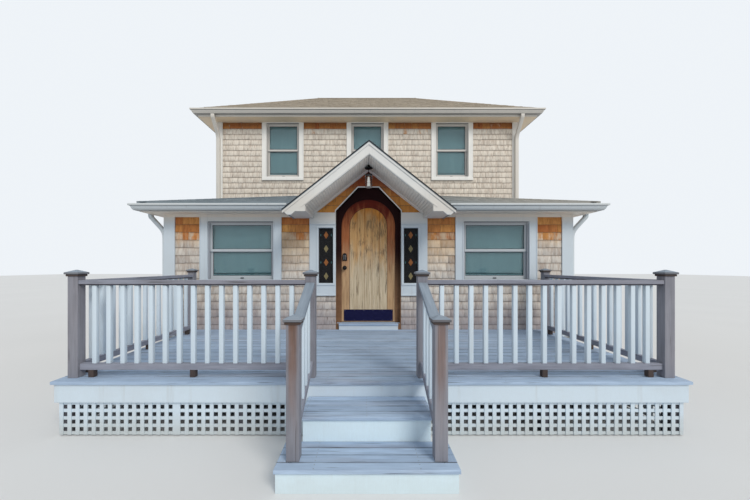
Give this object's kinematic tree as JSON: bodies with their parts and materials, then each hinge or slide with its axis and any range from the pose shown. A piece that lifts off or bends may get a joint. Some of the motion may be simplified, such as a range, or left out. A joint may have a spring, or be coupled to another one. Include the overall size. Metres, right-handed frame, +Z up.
{
  "type": "beach house",
  "caption": "Two-storey shingled beach cottage with a hipped roof, a gabled arched entry, a front deck with railings and steps, and an opening front door.",
  "frame": {"origin": "middle of the front foundation wall's underside, at ground level on the centre line of the front wall", "axes": "+Z up, +X to the right as seen from the steps, +Y from the front towards the back of the house"},
  "size_m": [7.38, 9.53, 6.2231],
  "materials": {
    "cedar_shingle": "weathered shingles",
    "white_trim": "white paint",
    "white_metal": "white enamel",
    "weathered_wood": "bare and weathered grey",
    "floor_wood": "oiled boards",
    "frame_wood": "sawn timber",
    "roof_covering": "mineral surface",
    "concrete": "cast concrete",
    "window_glass": "clear",
    "lantern_glass": "clear",
    "leaded_glass": "leaded",
    "shade_vinyl": "closed roller shade",
    "dark_frame": "dark brown stain",
    "door_rim_wood": "reddish brown stain",
    "door_plank_wood": "weathered stain",
    "black_metal": "black",
    "kick_plate_metal": "dark blue"
  },
  "bodies": {
    "house": {"foundation_front": "concrete", "foundation_sides": "concrete", "foundation_rear": "concrete", "ground_floor": "floor_wood", "front_wall_left": "cedar_shingle", "front_wall_right": "cedar_shingle", "front_wall_over_door": "cedar_shingle", "front_side_walls": "cedar_shingle", "lower_side_walls": "cedar_shingle", "lower_rear_wall": "cedar_shingle", "floor_beam": "frame_wood", "upper_floor": "floor_wood", "upper_front_wall": "cedar_shingle", "upper_side_walls": "cedar_shingle", "upper_rear_wall": "cedar_shingle", "lower_roof_deck": "frame_wood", "lower_roof_covering": "roof_covering", "main_roof_deck": "frame_wood", "main_roof_covering": "roof_covering", "porch_gable": "white_trim", "porch_covering": "roof_covering", "rake_boards": "white_trim", "lower_eaves": "white_trim", "upper_eaves": "white_trim", "gutters": "white_metal", "downspouts": "white_metal", "corner_boards": "white_trim", "window_casings": "white_trim", "window_sashes": "white_trim", "window_glass": "window_glass", "window_shades": "shade_vinyl", "entry_surround": "white_trim", "sidelight_glass": "leaded_glass", "door_frame": "dark_frame", "door_threshold": "weathered_wood", "hinge_pins": "black_metal", "entry_lantern": "black_metal", "lantern_glass": "lantern_glass", "deck_boards": "weathered_wood", "deck_frame": "frame_wood", "deck_joists": "frame_wood", "deck_piers": "frame_wood", "deck_fascia": "white_trim", "front_lattice": "white_trim", "side_lattice": "white_trim", "railing_posts": "weathered_wood", "rails": "weathered_wood", "balusters": "white_trim", "step_treads": "weathered_wood", "step_carriage": "white_trim"},
    "door": {"front_door": "door_rim_wood", "door_planks": "door_plank_wood", "door_hardware": "black_metal", "kick_plate": "kick_plate_metal"}
  },
  "joints": [
    {"name": "front_door_hinge", "type": "hinge", "parent": "house", "child": "door", "pos_m": [0.461, 0.091, 1.5], "axis": [0, 0, -1], "range_deg": [0, 90]}
  ]
}
